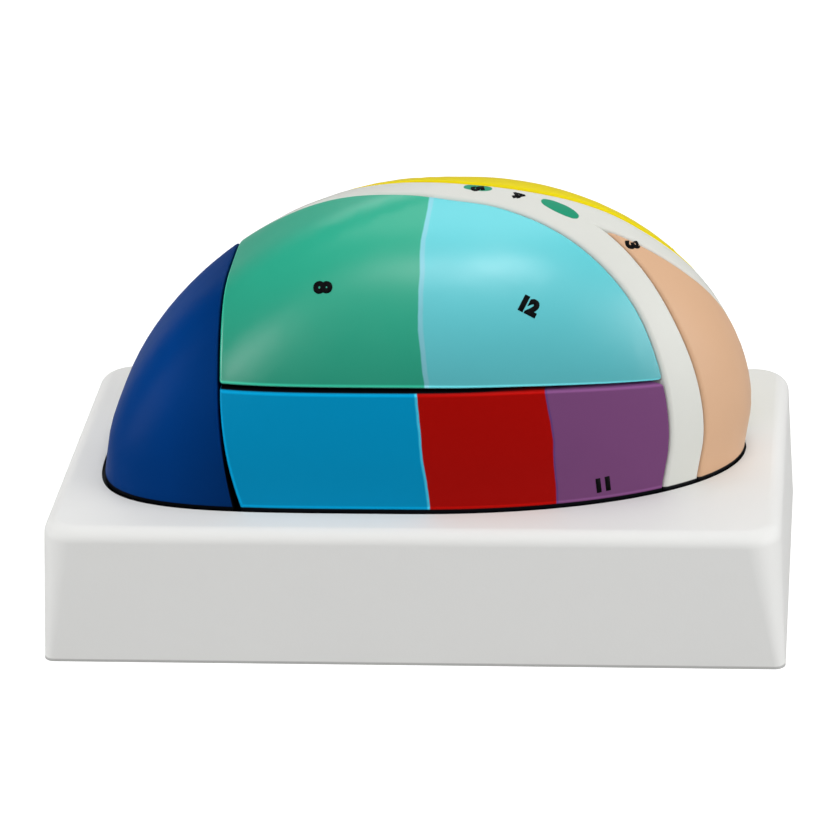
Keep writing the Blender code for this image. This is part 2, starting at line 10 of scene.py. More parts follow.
import bmesh
import bpy
from mathutils import Matrix, Vector
from mathutils.bvhtree import BVHTree
from mathutils.geometry import delaunay_2d_cdt


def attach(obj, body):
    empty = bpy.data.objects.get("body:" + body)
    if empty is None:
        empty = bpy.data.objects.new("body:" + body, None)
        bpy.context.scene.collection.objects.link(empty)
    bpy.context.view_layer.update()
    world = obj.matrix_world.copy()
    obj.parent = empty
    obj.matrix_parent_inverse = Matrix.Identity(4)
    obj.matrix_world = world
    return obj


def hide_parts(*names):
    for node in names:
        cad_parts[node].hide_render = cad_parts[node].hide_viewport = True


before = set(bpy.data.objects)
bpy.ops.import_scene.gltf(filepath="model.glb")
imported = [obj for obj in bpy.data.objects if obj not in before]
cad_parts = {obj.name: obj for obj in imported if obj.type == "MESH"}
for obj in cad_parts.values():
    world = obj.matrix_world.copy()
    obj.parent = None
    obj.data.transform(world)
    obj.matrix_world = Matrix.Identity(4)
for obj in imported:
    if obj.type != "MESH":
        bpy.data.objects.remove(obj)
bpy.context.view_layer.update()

# Body: plan outline, measured from the body's centre
REAR_LENGTH = 0.0842
FRONT_LENGTH = 0.0858
NEAR_DEPTH = 0.0430
FAR_DEPTH = 0.0357
REAR_SQUARENESS = 4.25
FRONT_SQUARENESS = 2.04

# Body: side profile, measured from the top of the base
BELLY_HEIGHT = 0.0104
CROWN_HEIGHT = 0.0655
CROWN_POWER = 1.625
FORWARD_LEAN = 0.182

# Body: how finely its surface is divided
CROWN_RINGS = 56
SHARP_ANGLE = radians(38)
CORNER_TURN = radians(35)
RIM_STEP = 0.0018
CORNER_STEP = 0.0034
RIM_ROOM = 0.0022
INNER_STEP = 0.0024
CELL = 0.0026
STRETCH = 20.0
WALL_STRETCH = 2.0
WALL_STEP = 0.0030
WALL_SLOPE = 0.2
FLATNESS = 2e-5
FLAT_TURN = radians(1.5)
SMALLEST_PATCH = 2e-6
SLIVER_SHARE = 0.02
ACROSS_SLOPE = 0.02
CLOSE_CORNERS = 0.0012
WELD = 0.0001
FLAT_WELD = 1e-7
SMALLEST_SHARE = 1e-4

# Base
END_MARGIN = 0.0110
NEAR_MARGIN = 0.0123
FAR_MARGIN = 0.0196
BASE_HEIGHT = 0.0375
BASE_TOP_CORNER = 0.0095
BASE_FOOT_CORNER = 0.0028
BASE_EDGE_RADIUS = 0.0038
BASE_DRAFT = 0.030
BASE_WALL = 0.003
CORNER_STEPS = 16
EDGE_STEPS = 10

# Well in the base, and the feet of the blocks in it
WELL_DEPTH = 0.0010
WELL_CLEARANCE = 0.0007
SEAT_GAP = 0.0003

# Splits between the blocks
SPLIT_GAP = 0.0004
TIER_GAP = 0.0008
REAR_GAP = 0.0006
EDGE_RADIUS = 0.0009
EDGE_SEGMENTS = 5
REAR_CUT = -0.0500
REAR_FLARE = 0.0046
REAR_OPENING = 0.0010
TIER_HEIGHT = 0.0324
TIER_DROP_START = 0.020
TIER_DROP = 0.0024
TIER_DROP_LENGTH = 0.043
TIER_OVERRUN = 1.3

# Courses of the upright splits at the top of the base, from rear to front, from the body's
# centre in shares of its length and depth. The splits lean forward with the body.
LAMINA_NEAR_COURSE = [
    (-0.3541, 0.1779), (-0.2882, 0.1461), (-0.2188, 0.0864), (-0.1659, 0.0254), (-0.0982, -0.0584),
    (-0.0247, -0.1017), (0.0576, -0.1296), (0.1576, -0.1753), (0.2312, -0.2186), (0.2929, -0.2630),
    (0.3400, -0.3088), (0.3724, -0.3405),
]
LAMINA_FAR_COURSE = [
    (-0.3541, 0.2732), (-0.2894, 0.2414), (-0.2188, 0.1779), (-0.1541, 0.0953), (-0.0894, 0.0356),
    (-0.0247, -0.0102), (0.0400, -0.0305), (0.1106, -0.0330), (0.1812, -0.0178), (0.2400, -0.0038),
    (0.2988, 0.0051), (0.3576, 0.0343), (0.3988, 0.0762), (0.4400, 0.1296),
]
WEDGE_NEAR_COURSE = [
    (0.2165, -0.1055), (0.2465, -0.1258), (0.3024, -0.1728), (0.3576, -0.2224), (0.4012, -0.2541),
    (0.4288, -0.2732),
]
WEDGE_FAR_COURSE = [
    (0.2165, -0.1055), (0.2559, -0.0928), (0.3047, -0.0762), (0.3512, -0.0508), (0.3882, -0.0191),
    (0.4459, 0.0445),
]

# Pegs on the lower tier that locate the upper tier
PEG_STATIONS = [(-0.032, -0.016), (0.034, -0.023)]
PEG_DIAMETER = 0.006
PEG_HEIGHT = 0.006
PEG_CLEARANCE = 0.0003
PEG_TIP_CHAMFER = 0.0008
PEG_SIDES = 24

# Painted fields on the tiers: where each edge runs, as heights over the base and X there
GREEN_EDGE = [(0.0349, 0.0042), (0.0404, 0.0034), (0.0475, 0.0026), (0.0670, 0.0028), (0.0740, 0.0042)]
BLUE_EDGE = [(0.0020, 0.0050), (0.0177, 0.0034), (0.0318, 0.0021)]
RED_EDGE = [(0.0018, 0.0377), (0.0190, 0.0371), (0.0314, 0.0354)]

# Painted shade at the joints, dark lines that stand in for the shadow in their gaps: how far each runs out
# of its gap, below 0 where it stops inside
FOOT_LINE = 0.0010
REAR_LINE_TOP = -0.0004
REAR_LINE_FOOT = 0.0004
TIER_LINE_REAR = 0.0003
TIER_LINE_FRONT = -0.0002
# Painted shade in the well of the base and along the base's foot
WELL_SHADE = 0.0003
WELL_SOFTNESS = 0.0005
BASE_FOOT_LINE = 0.0007
BASE_FOOT_SHADE = 0.45
BASE_FOOT_SHADE_COLOUR = (90, 90, 88)
# Softness and colour of all the painted shade lines
LINE_SOFTNESS = 0.0002
PAINTED_SHADE_COLOUR = (10, 12, 16)

# Painted highlights: lighter rims beside the joints, where the rounded edges would catch the light, measured
# from where the painted shade line ends
EDGE_HIGHLIGHT_PLACE = 0.0005
EDGE_HIGHLIGHT_WIDTH = 0.0005

# Brushed satin of the paints
BLACK = (0.0, 0.0, 0.0, 1.0)
WHITE = (1.0, 1.0, 1.0, 1.0)
CLOUD_SCALE = 35.0
GLOSS_SCALE = 90.0
GLOSS_RANGE = 0.10
SKIN_SCALE = 1500.0
WAVE_SCALE = 160.0
WAVE_SHARE = 2.5
BUMP_DISTANCE = 0.0002

# Hand-painted edges
FIELD_SOFTNESS = 0.0003
STRIP_SOFTNESS = 0.0004
FIELD_WOBBLE = 0.0008
FIELD_WOBBLE_SCALE = 110.0
FIELD_WOBBLE_STEP = 17.0
OVAL_POWER = 2.4
OVAL_WOBBLE = 0.30
OVAL_WOBBLE_SCALE = 420.0
OVAL_SOFTNESS = 0.12

# Ovals on the lamina: centre in plan from the body's axis, half length, half width and turn
OVALS = [(0.0165, -0.0039, 0.0038, 0.0014, -0.10), (0.0380, -0.0071, 0.0050, 0.0019, -0.22)]

# Index numbers: text, centre over the base, turn, height and weight of the print
NUMBERS = [
    ("8", (-0.0226, -0.0274, 0.0569), -1.5, 0.0044, 0.00040),
    ("12", (0.0308, -0.0289, 0.0524), -0.55, 0.0038, 0.00045),
    ("11", (0.0495, -0.0350, 0.0049), 0.10, 0.0036, 0.00040),
    ("3", (0.0567, -0.0088, 0.0614), -1.9, 0.0040, 0.00035),
    ("5", (0.0163, -0.0044, 0.0752), -1.6, 0.0030, 0.00035),
    ("4", (0.0269, -0.0057, 0.0740), -1.6, 0.0030, 0.00035),
]

# Print: how proud it stands, its longest edge left whole, and a figure's height in its font
PRINT_HEIGHT = 0.00006
PRINT_STEP = 0.0008
PRINT_WELD = 1e-6
FIGURE_SHARE = 0.72

# Lights: name, place, size and power. All point at one place low in the body.
LIGHT_TARGET = (0.0, 0.0, 0.05)
LIGHTS = [
    ("overhead", (0.1, 0.1, 1.4), (1.0, 1.0), 6.0),
    ("high strip", (0.14, -0.80, 1.20), (0.55, 0.14), 5.2),
    ("left strip", (-0.75, -1.23, 0.76), (0.30, 0.50), 3.5),
    ("right strip", (1.05, -0.95, 0.83), (0.6, 0.6), 1.6),
    ("right", (1.5, -0.5, 0.6), (1.0, 0.9), 14.8),
    ("left", (-1.5, -0.2, 0.4), (0.8, 0.6), 11.7),
    ("back", (0.0, 1.2, 1.0), (1.4, 0.8), 5.0),
]
WORLD_LIGHT = 0.04

# Studio sheet: a table with a wall behind it, and the bend between them
SHEET_HALF_WIDTH = 4.0
SHEET_FRONT = -3.0
BEND_START = 1.2
BEND_RADIUS = 0.8
BEND_STEPS = 12
WALL_TOP = 3.5
SHEET_GREY = 0.50
SHEET_GLOW = 0.70

# Camera, fitted to the photograph. Its focal length is given in pixels of the picture.
CAMERA_PLACE = (0.11843, -1.09512, 0.53397)
CAMERA_PITCH = radians(23.943)
CAMERA_YAW = radians(6.2468)
CAMERA_ROLL = radians(-2.2069)
FOCAL_PIXELS = 4500
PICTURE_PIXELS = 840
FILM_WIDTH = 36.0

# Worked out from the values above
BODY_CENTRE_X = (REAR_LENGTH - FRONT_LENGTH) / 2
BASE_WIDTH = REAR_LENGTH + FRONT_LENGTH + 2 * END_MARGIN
BASE_DEPTH = NEAR_DEPTH + FAR_DEPTH + NEAR_MARGIN + FAR_MARGIN
BODY_CENTRE_Y = NEAR_MARGIN + NEAR_DEPTH - BASE_DEPTH / 2
FOOT = -WELL_DEPTH + SEAT_GAP
REACH = 3 * (BASE_WIDTH + BASE_DEPTH)

# Cutters in use, removed at the end
CUTTERS = []


def add_object(name, bm):
    bmesh.ops.recalc_face_normals(bm, faces=bm.faces[:])
    mesh = bpy.data.meshes.new(name)
    bm.to_mesh(mesh)
    bm.free()
    obj = bpy.data.objects.new(name, mesh)
    bpy.context.scene.collection.objects.link(obj)
    return obj


def add_cutter(name, bm):
    cutter = add_object(name, bm)
    CUTTERS.append(cutter)
    return cutter


# Outlines and courses

def girth(z):
    """Share of the full plan outline that the body has at height z over the base."""
    if z <= BELLY_HEIGHT:
        return 1.0
    rise = min(1.0, (z - BELLY_HEIGHT) / CROWN_HEIGHT)
    return sqrt(max(0.0, 1.0 - rise ** CROWN_POWER))


def outline_point(angle, share, z, grow=0.0):
    """Point of the plan outline: squarer at the rear, rounder at the front."""
    along, across = cos(angle), sin(angle)
    power = REAR_SQUARENESS if along < 0 else FRONT_SQUARENESS
    radius = (abs(along) ** power + abs(across) ** power) ** (-1 / power)
    length = REAR_LENGTH if along < 0 else FRONT_LENGTH
    depth = NEAR_DEPTH if across < 0 else FAR_DEPTH
    x = BODY_CENTRE_X + FORWARD_LEAN * max(z, 0.0) + (share * length + grow) * along * radius
    return x, BODY_CENTRE_Y + (share * depth + grow) * across * radius


def grid_angle(a, b):
    """Angle in plan of a crossing of the square grid, even along each of its rings."""
    ring = max(abs(a), abs(b), 1)
    if a == ring:
        steps = b
    elif b == ring:
        steps = 2 * ring - a
    elif a == -ring:
        steps = 4 * ring - b
    else:
        steps = 6 * ring + a
    return (steps % (8 * ring)) * pi / (4 * ring)


def body_outline(share, z, grow=0.0):
    return [outline_point(2 * pi * i / (8 * CROWN_RINGS), share, z, grow) for i in range(8 * CROWN_RINGS)]


def smooth_course(points, steps=12):
    """Even curve through the points, with straight tails that run far out of the body."""
    ends = [Vector(points[0]) * 2 - Vector(points[1])] + [Vector(p) for p in points]
    ends.append(Vector(points[-1]) * 2 - Vector(points[-2]))
    course = []
    for before, start, stop, after in zip(ends, ends[1:], ends[2:], ends[3:]):
        for i in range(steps):
            t = i / steps
            course.append(
                0.5 * (2 * start + (stop - before) * t
                       + (2 * before - 5 * start + 4 * stop - after) * t ** 2
                       + (3 * start - before - 3 * stop + after) * t ** 3)
            )
    course.append(Vector(points[-1]))
    return course


def with_tails(course, rear=True, front=True):
    out = list(course)
    if rear:
        out.insert(0, out[0] + (out[0] - out[1]).normalized() * REACH)
    if front:
        out.append(out[-1] + (out[-1] - out[-2]).normalized() * REACH)
    return out


def offset_course(course, shift):
    """Course moved sideways by shift, to its left when it runs from rear to front."""
    moved = []
    for i, point in enumerate(course):
        before = course[max(i - 1, 0)]
        after = course[min(i + 1, len(course) - 1)]
        along = (after - before).normalized()
        moved.append(point + Vector((-along.y, along.x)) * shift)
    return moved


def in_body(shares):
    """Places in plan of points that are given in shares of the body's length and depth."""
    length = REAR_LENGTH + FRONT_LENGTH
    depth = NEAR_DEPTH + FAR_DEPTH
    return [Vector((BODY_CENTRE_X + x * length, BODY_CENTRE_Y + y * depth)) for x, y in shares]


# Solids

def loft(rings):
    """Closed skin over rings of equal point counts, with a flat face on either end."""
    bm = bmesh.new()
    loops = [[bm.verts.new(point) for point in ring] for ring in rings]
    for low, high in zip(loops, loops[1:]):
        for i in range(len(low)):
            bm.faces.new((low[i - 1], low[i], high[i], high[i - 1]))
    bm.faces.new(list(reversed(loops[0])))
    bm.faces.new(loops[-1])
    return bm


def body_mesh():
    """The whole egg-shaped body, from its feet in the well to its crown.

    The crown is a square grid bent to the outline, so its faces stay even up to the top.
    """
    bm = bmesh.new()
    count = CROWN_RINGS
    grid = {}
    for a in range(-count, count + 1):
        for b in range(-count, count + 1):
            ring = max(abs(a), abs(b))
            share = sin(pi / 2 * ring / count)
            z = BELLY_HEIGHT + CROWN_HEIGHT * (1 - share ** 2) ** (1 / CROWN_POWER)
            x, y = outline_point(grid_angle(a, b), share, z)
            grid[a, b] = bm.verts.new((x, y, BASE_HEIGHT + z))
    for a in range(-count, count):
        for b in range(-count, count):
            bm.faces.new((grid[a, b], grid[a + 1, b], grid[a + 1, b + 1], grid[a, b + 1]))
    edge = [key for key in grid if max(abs(key[0]), abs(key[1])) == count]
    edge.sort(key=lambda key: grid_angle(*key))
    upper = [grid[key] for key in edge]
    for z in (BELLY_HEIGHT / 2, 0.0, FOOT):
        lower = []
        for key in edge:
            x, y = outline_point(grid_angle(*key), 1.0, z)
            lower.append(bm.verts.new((x, y, BASE_HEIGHT + z)))
        for i in range(len(edge)):
            bm.faces.new((lower[i - 1], lower[i], upper[i], upper[i - 1]))
        upper = lower
    bmesh.ops.triangulate(bm, faces=bm.faces[:])
    bm.faces.new(upper)
    return bm


def plan_prism(name, outline, low, high, lean=0.0):
    """Cutter with an outline in plan, from height low to height high, that may lean forward."""
    bm = loft([[(x + lean * (z - BASE_HEIGHT), y, z) for x, y in outline] for z in (low, high)])
    return add_cutter(name, bm)


def side_prism(name, outline):
    """Cutter with an outline in the XZ plane, right across the body."""
    bm = loft([[(x, y, z) for x, z in outline] for y in (-REACH, REACH)])
    return add_cutter(name, bm)


def carve(obj, cutter, operation):
    modifier = obj.modifiers.new(cutter.name, "BOOLEAN")
    modifier.operation = operation
    modifier.solver = "EXACT"
    modifier.object = cutter


def bake(obj):
    """Replace the object's mesh by what its modifiers make of it."""
    graph = bpy.context.evaluated_depsgraph_get()
    mesh = bpy.data.meshes.new_from_object(obj.evaluated_get(graph))
    obj.modifiers.clear()
    obj.data = mesh
    mesh.name = obj.name


# Rounded edges

def find_patches(bm):
    """Number the patches of the surface, which sharp edges part, and list their faces.

    A sliver left by a cut counts with the neighbour that it shares most of its edge with.
    """
    patches = []
    number = {}
    for start in bm.faces:
        if start in number:
            continue
        number[start] = len(patches)
        patch = [start]
        for face in patch:
            for edge in face.edges:
                if edge.calc_face_angle(0.0) > SHARP_ANGLE:
                    continue
                for other in edge.link_faces:
                    if other not in number:
                        number[other] = len(patches)
                        patch.append(other)
        patches.append(patch)
    for patch in sorted(patches, key=lambda faces: sum(face.calc_area() for face in faces)):
        if sum(face.calc_area() for face in patch) > SMALLEST_PATCH:
            break
        shared = {}
        for face in patch:
            for edge in face.edges:
                for other in edge.link_faces:
                    if number[other] != number[patch[0]]:
                        shared[number[other]] = shared.get(number[other], 0.0) + edge.calc_length()
        host = max(shared, key=shared.get)
        for face in patch:
            number[face] = host
        patches[host].extend(patch)
        patch.clear()
    return [patch for patch in patches if patch], number


def find_rims(bm, number):
    return [edge for edge in bm.edges if len({number[face] for face in edge.link_faces}) > 1]


def rim_chains(rims):
    """Runs of rim edges between corners, each a list of vertices."""
    links = {}
    for edge in rims:
        for vert in edge.verts:
            links.setdefault(vert, []).append(edge)

    def is_corner(vert):
        edges = links[vert]
        if len(edges) != 2:
            return True
        first, second = ((edge.other_vert(vert).co - vert.co).normalized() for edge in edges)
        return first.dot(second) > -cos(CORNER_TURN)

    done = set()
    chains = []
    for start in [vert for vert in links if is_corner(vert)] + list(links):
        for edge in links[start]:
            if edge in done:
                continue
            chain = [start]
            while edge is not None:
                done.add(edge)
                chain.append(edge.other_vert(chain[-1]))
                if is_corner(chain[-1]) or chain[-1] is start:
                    break
                edge = next((e for e in links[chain[-1]] if e not in done), None)
            chains.append(chain)
    return chains


def run_length(chain):
    return sum((after.co - before.co).length for before, after in zip(chain, chain[1:]))


def is_straight(chain):
    if chain[0] is chain[-1]:
        return False
    start = chain[0].co
    along = (chain[-1].co - start).normalized()
    offsets = [(vert.co - start) - along * (vert.co - start).dot(along) for vert in chain]
    return max(offset.length for offset in offsets) < FLATNESS


def even_points(chain, step):
    """Points at even steps along a run of vertices, without its ends.

    The first and last steps are longer, so that the rounded edges have room at a corner.
    """
    lengths = [0.0]
    for before, after in zip(chain, chain[1:]):
        lengths.append(lengths[-1] + (after.co - before.co).length)
    middle = lengths[-1] - 2 * CORNER_STEP
    if middle < step:
        wanted = [lengths[-1] / 2] if lengths[-1] > 2 * step else []
    else:
        parts = round(middle / step)
        wanted = [CORNER_STEP + middle * i / parts for i in range(parts + 1)]
    points = []
    k = 0
    for place in wanted:
        while lengths[k + 1] < place:
            k += 1
        share = (place - lengths[k]) / (lengths[k + 1] - lengths[k])
        points.append(chain[k].co.lerp(chain[k + 1].co, share))
    return points


def unroll_egg(point):
    """Place in a flat map of the egg: its crown is the middle and its feet the edge."""
    z = point.z - BASE_HEIGHT
    share = max(girth(z), SMALLEST_SHARE)
    x = point.x - BODY_CENTRE_X - FORWARD_LEAN * max(z, 0.0)
    y = point.y - BODY_CENTRE_Y
    reach = asin(share) / (pi / 2) if z > BELLY_HEIGHT else 1 + (BELLY_HEIGHT - z) / REAR_LENGTH
    return Vector((x / share * reach, y / share * reach))


def unroll_wall(point):
    """Place in a flat map of a wall that leans with the body, stretched along its run."""
    return Vector(((point.x - FORWARD_LEAN * (point.z - BASE_HEIGHT)) * WALL_STRETCH, point.z))


def patch_map(patch):
    """How a patch is laid flat, and the way in which points are found inside it.

    Neither is needed where it is flat already. A patch that is straight across the body
    needs no inner points: it is stretched the other way, so its triangles run across.
    """
    largest = max(face.calc_area() for face in patch)
    normals = [face.normal for face in patch if face.calc_area() > SLIVER_SHARE * largest]
    mean = sum((face.normal * face.calc_area() for face in patch), Vector()).normalized()
    if min(n.dot(mean) for n in normals) > cos(FLAT_TURN):
        return None, None
    if max(abs(n.y) for n in normals) < ACROSS_SLOPE:
        if abs(mean.z) > abs(mean.x):
            return (lambda p: Vector((p.x * STRETCH, p.y))), None
        return (lambda p: Vector((p.y, p.z * STRETCH))), None
    if max(abs(n.z) for n in normals) < WALL_SLOPE:
        return unroll_wall, wall_points
    return unroll_egg, skin_points


def cell_of(point):
    return tuple(int(value // CELL) for value in point)


def is_clear(point, taken):
    """True when no point that is kept already has the new one in its room."""
    x, y, z = cell_of(point)
    for i in (x - 1, x, x + 1):
        for j in (y - 1, y, y + 1):
            for k in (z - 1, z, z + 1):
                for other, room in taken.get((i, j, k), ()):
                    if (point - other).length <= room:
                        return False
    return True


def skin_points(patch, taken):
    """The patch's own points, thinned out and clear of its border."""
    points = []
    for vert in sorted({v for face in patch for v in face.verts}, key=lambda v: tuple(v.co)):
        if is_clear(vert.co, taken):
            points.append(vert.co.copy())
            taken.setdefault(cell_of(vert.co), []).append((points[-1], INNER_STEP))
    return points


def wall_points(patch, taken):
    """Rows of points on a wall that runs along the body, clear of its border."""
    verts = sorted({v for face in patch for v in face.verts}, key=lambda v: tuple(v.co))
    places = {vert: i for i, vert in enumerate(verts)}
    wall = BVHTree.FromPolygons([v.co for v in verts], [[places[v] for v in face.verts] for face in patch])
    low = [min(v.co[axis] for v in verts) for axis in range(3)]
    high = [max(v.co[axis] for v in verts) for axis in range(3)]
    points = []
    for column in range(int((high[0] - low[0]) / WALL_STEP) + 1):
        for row in range(int((high[2] - low[2]) / (WALL_STRETCH * WALL_STEP)) + 1):
            start = Vector((low[0] + WALL_STEP * column, -REACH, low[2] + WALL_STRETCH * WALL_STEP * row))
            place = wall.ray_cast(start, Vector((0.0, 1.0, 0.0)))[0]
            if place and is_clear(place, taken):
                points.append(place)
    return points


def fill_patch(border, inner, lay_flat):
    """Triangles between a border and the points inside it, as places in border + inner.

    Nothing comes back if the border crosses itself once it is laid flat.
    """
    flat = [lay_flat(point) for point in border + inner]
    rim = list(range(len(border)))
    result = delaunay_2d_cdt(flat, [], [rim], 0, FLAT_WELD, True)
    if any(len(places) != 1 for places in result[3]):
        return None
    triangles = [[result[3][i][0] for i in face] for face in result[2]]
    fence = {frozenset((i, (i + 1) % len(rim))) for i in rim}
    beside = {}
    for number, triangle in enumerate(triangles):
        for i in range(3):
            beside.setdefault(frozenset((triangle[i - 1], triangle[i])), []).append(number)
    outside = {numbers[0] for edge, numbers in beside.items() if len(numbers) == 1 and edge not in fence}
    grown = list(outside)
    for number in grown:
        triangle = triangles[number]
        for i in range(3):
            edge = frozenset((triangle[i - 1], triangle[i]))
            for other in beside[edge]:
                if edge not in fence and other not in outside:
                    outside.add(other)
                    grown.append(other)
    return [triangle for number, triangle in enumerate(triangles) if number not in outside]


def even_mesh(obj):
    """Mesh the block anew: even points on its rims, and no others close beside them."""
    bm = bmesh.new()
    bm.from_mesh(obj.data)
    bmesh.ops.remove_doubles(bm, verts=bm.verts[:], dist=WELD)
    bmesh.ops.dissolve_degenerate(bm, edges=bm.edges[:], dist=WELD)
    bm.normal_update()
    patches, number = find_patches(bm)
    rims = set(find_rims(bm, number))
    out = bmesh.new()
    corner = {}
    runs = {}
    rim_points = []
    chains = sorted(rim_chains(rims), key=run_length)
    for chain in chains:
        if run_length(chain) < CLOSE_CORNERS:
            joint = corner.get(chain[0]) or corner.get(chain[-1]) or out.verts.new(chain[0].co)
            corner[chain[0]] = corner[chain[-1]] = joint
            continue
        for end in (chain[0], chain[-1]):
            if end not in corner:
                corner[end] = out.verts.new(end.co)
        points = [] if is_straight(chain) else even_points(chain, RIM_STEP)
        line = [corner[chain[0]]] + [out.verts.new(point) for point in points] + [corner[chain[-1]]]
        for before, after in zip(chain, chain[1:]):
            runs[frozenset((before, after))] = line
        rim_points.extend([line[0].co.copy(), line[-1].co.copy()] + even_points(chain, RIM_ROOM / 3))
    for patch in patches:
        lines = []
        for face in patch:
            for edge in face.edges:
                line = runs.get(frozenset(edge.verts))
                if line and not any(line is other for other in lines):
                    lines.append(line)
        loop = join_lines(lines)
        lay_flat, find_points = patch_map(patch)
        taken = {}
        for point in rim_points:
            taken.setdefault(cell_of(point), []).append((point, RIM_ROOM))
        inner = find_points(patch, taken) if find_points else []
        triangles = lay_flat and fill_patch([v.co for v in loop], inner, lay_flat)
        if not triangles:
            face = out.faces.new(loop)
            if lay_flat:
                bmesh.ops.triangulate(out, faces=[face])
            continue
        verts = loop + [out.verts.new(point) for point in inner]
        for triangle in triangles:
            out.faces.new([verts[i] for i in triangle])
    bm.free()
    bmesh.ops.recalc_face_normals(out, faces=out.faces[:])
    rim_pairs = {frozenset(pair) for line in runs.values() for pair in zip(line, line[1:])}
    weight = out.edges.layers.float.new("bevel_weight_edge")
    for edge in out.edges:
        if frozenset(edge.verts) in rim_pairs and edge.is_convex and edge.calc_face_angle(0.0) > SHARP_ANGLE:
            edge[weight] = 1.0
    out.to_mesh(obj.data)
    out.free()


def join_lines(lines):
    """One closed loop out of the runs of vertices that bound a patch."""
    rest = list(lines)
    loop = list(rest.pop(0))
    while rest:
        for line in rest:
            if line[0] is loop[-1] or line[-1] is loop[-1]:
                rest.remove(line)
                loop.extend(line[1:] if line[0] is loop[-1] else line[-2::-1])
                break
        else:
            raise ValueError("open patch border")
    return loop[:-1]


def round_edges(obj):
    bevel = obj.modifiers.new("rounded edges", "BEVEL")
    bevel.width = EDGE_RADIUS
    bevel.segments = EDGE_SEGMENTS
    bevel.limit_method = "WEIGHT"
    bevel.use_clamp_overlap = False
    bevel.loop_slide = False


# Split surfaces

def rear_course(opening=0.0, shift=0.0):
    """Rear split in the XZ plane, from below the feet to above the crown."""
    course = []
    steps = 8
    for i in range(steps + 1):
        z = FOOT + (TIER_HEIGHT - FOOT) * i / steps
        drop = (TIER_HEIGHT - z) / TIER_HEIGHT
        x = REAR_CUT + (REAR_FLARE - opening) * drop ** 2 + shift
        course.append(Vector((x, BASE_HEIGHT + z)))
    course.insert(0, Vector((course[0].x, -REACH)))
    course.append(Vector((REAR_CUT + shift, REACH)))
    return course


def tier_course(shift=0.0):
    """Split between the tiers in the XZ plane: level, then falling towards the front."""
    course = [Vector((-REACH, 0.0)), Vector((TIER_DROP_START, 0.0))]
    steps = 6
    for i in range(1, steps + 1):
        along = TIER_OVERRUN * i / steps
        course.append(Vector((TIER_DROP_START + TIER_DROP_LENGTH * along, -TIER_DROP * along ** 2)))
    course.append(course[-1] + (course[-1] - course[-2]).normalized() * REACH)
    return [Vector((p.x, BASE_HEIGHT + TIER_HEIGHT + shift + p.y)) for p in course]


def block(name, prisms, removed=()):
    """One piece of the body: what the prisms leave of it, with its edges rounded."""
    obj = add_object(name, body_mesh())
    for prism in prisms:
        carve(obj, prism, "INTERSECT")
    for prism in removed:
        carve(obj, prism, "DIFFERENCE")
    bake(obj)
    even_mesh(obj)
    round_edges(obj)
    bake(obj)
    return obj


def finish_surface(obj, node, material):
    """Give the piece its finish, and put it in the place of the solid that it shows."""
    obj.data.materials.clear()
    obj.data.materials.append(material)
    for polygon in obj.data.polygons:
        polygon.material_index = 0
    obj.data.shade_smooth()
    obj.data.set_sharp_from_angle(angle=SHARP_ANGLE)
    weighted = obj.modifiers.new("even shading", "WEIGHTED_NORMAL")
    weighted.keep_sharp = True
    weighted.weight = 100
    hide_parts(node)
    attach(obj, "root")


# Pegs between the tiers

def peg_mesh(station, diameter, low, high, chamfer):
    """Upright round peg with a chamfered tip."""
    bm = bmesh.new()
    bmesh.ops.create_cone(
        bm, cap_ends=True, segments=PEG_SIDES, radius1=diameter / 2, radius2=diameter / 2, depth=high - low
    )
    x, y = station
    bmesh.ops.translate(bm, verts=bm.verts[:], vec=(x, y + BODY_CENTRE_Y, (low + high) / 2))
    if chamfer:
        tip = [edge for edge in bm.edges if min(v.co.z for v in edge.verts) > high - chamfer / 2]
        bmesh.ops.bevel(bm, geom=tip, offset=chamfer, segments=1, profile=0.5, affect="EDGES")
    return bm


def fit_pegs(lower, upper):
    """Raise the pegs on the lower block and sink their sockets into the upper one."""
    seat = BASE_HEIGHT + TIER_HEIGHT
    for number, station in enumerate(PEG_STATIONS, 1):
        foot = seat - PEG_HEIGHT
        tip = seat + PEG_HEIGHT
        peg = add_cutter(f"peg {number}", peg_mesh(station, PEG_DIAMETER, foot, tip, PEG_TIP_CHAMFER))
        bore = PEG_DIAMETER + 2 * PEG_CLEARANCE
        hole = peg_mesh(station, bore, foot, seat + PEG_HEIGHT + PEG_CLEARANCE, 0.0)
        socket = add_cutter(f"socket {number}", hole)
        carve(lower, peg, "UNION")
        carve(upper, socket, "DIFFERENCE")
    for obj in (lower, upper):
        bake(obj)


# Base

def slab_ring(z, inset, drop):
    """Outline of the base at height z, moved in by inset and then by the rounding of its rim."""
    rise = z / BASE_HEIGHT
    radius = BASE_FOOT_CORNER + (BASE_TOP_CORNER - BASE_FOOT_CORNER) * min(max(rise, 0.0), 1.0) - inset / 2
    spread = BASE_DRAFT * (BASE_HEIGHT - z) - inset
    half_x = BASE_WIDTH / 2 + spread - drop
    half_y = BASE_DEPTH / 2 + spread - drop
    radius = max(radius - drop, BASE_WALL / 4)
    ring = []
    for quarter, (sign_x, sign_y) in enumerate(((1, 1), (-1, 1), (-1, -1), (1, -1))):
        for i in range(CORNER_STEPS + 1):
            angle = pi / 2 * (quarter + i / CORNER_STEPS)
            ring.append((
                sign_x * (half_x - radius) + radius * cos(angle),
                sign_y * (half_y - radius) + radius * sin(angle), z,
            ))
    return ring


def rounded_slab(name, inset, low, high):
    """Box with drafted sides and a rounded rim, whose corners grow rounder towards the top."""
    rim = max(BASE_EDGE_RADIUS - inset, BASE_WALL / 3)
    rings = [slab_ring(low, inset, 0.0)]
    for i in range(EDGE_STEPS + 1):
        turn = pi / 2 * i / EDGE_STEPS
        rings.append(slab_ring(high - rim + rim * sin(turn), inset, rim * (1 - cos(turn))))
    return add_object(name, loft(rings))


def foot_prism(name, grow, low, high):
    """Prism over the foot outline of the body, grown sideways."""
    return plan_prism(name, body_outline(1.0, 0.0, grow), low, high)


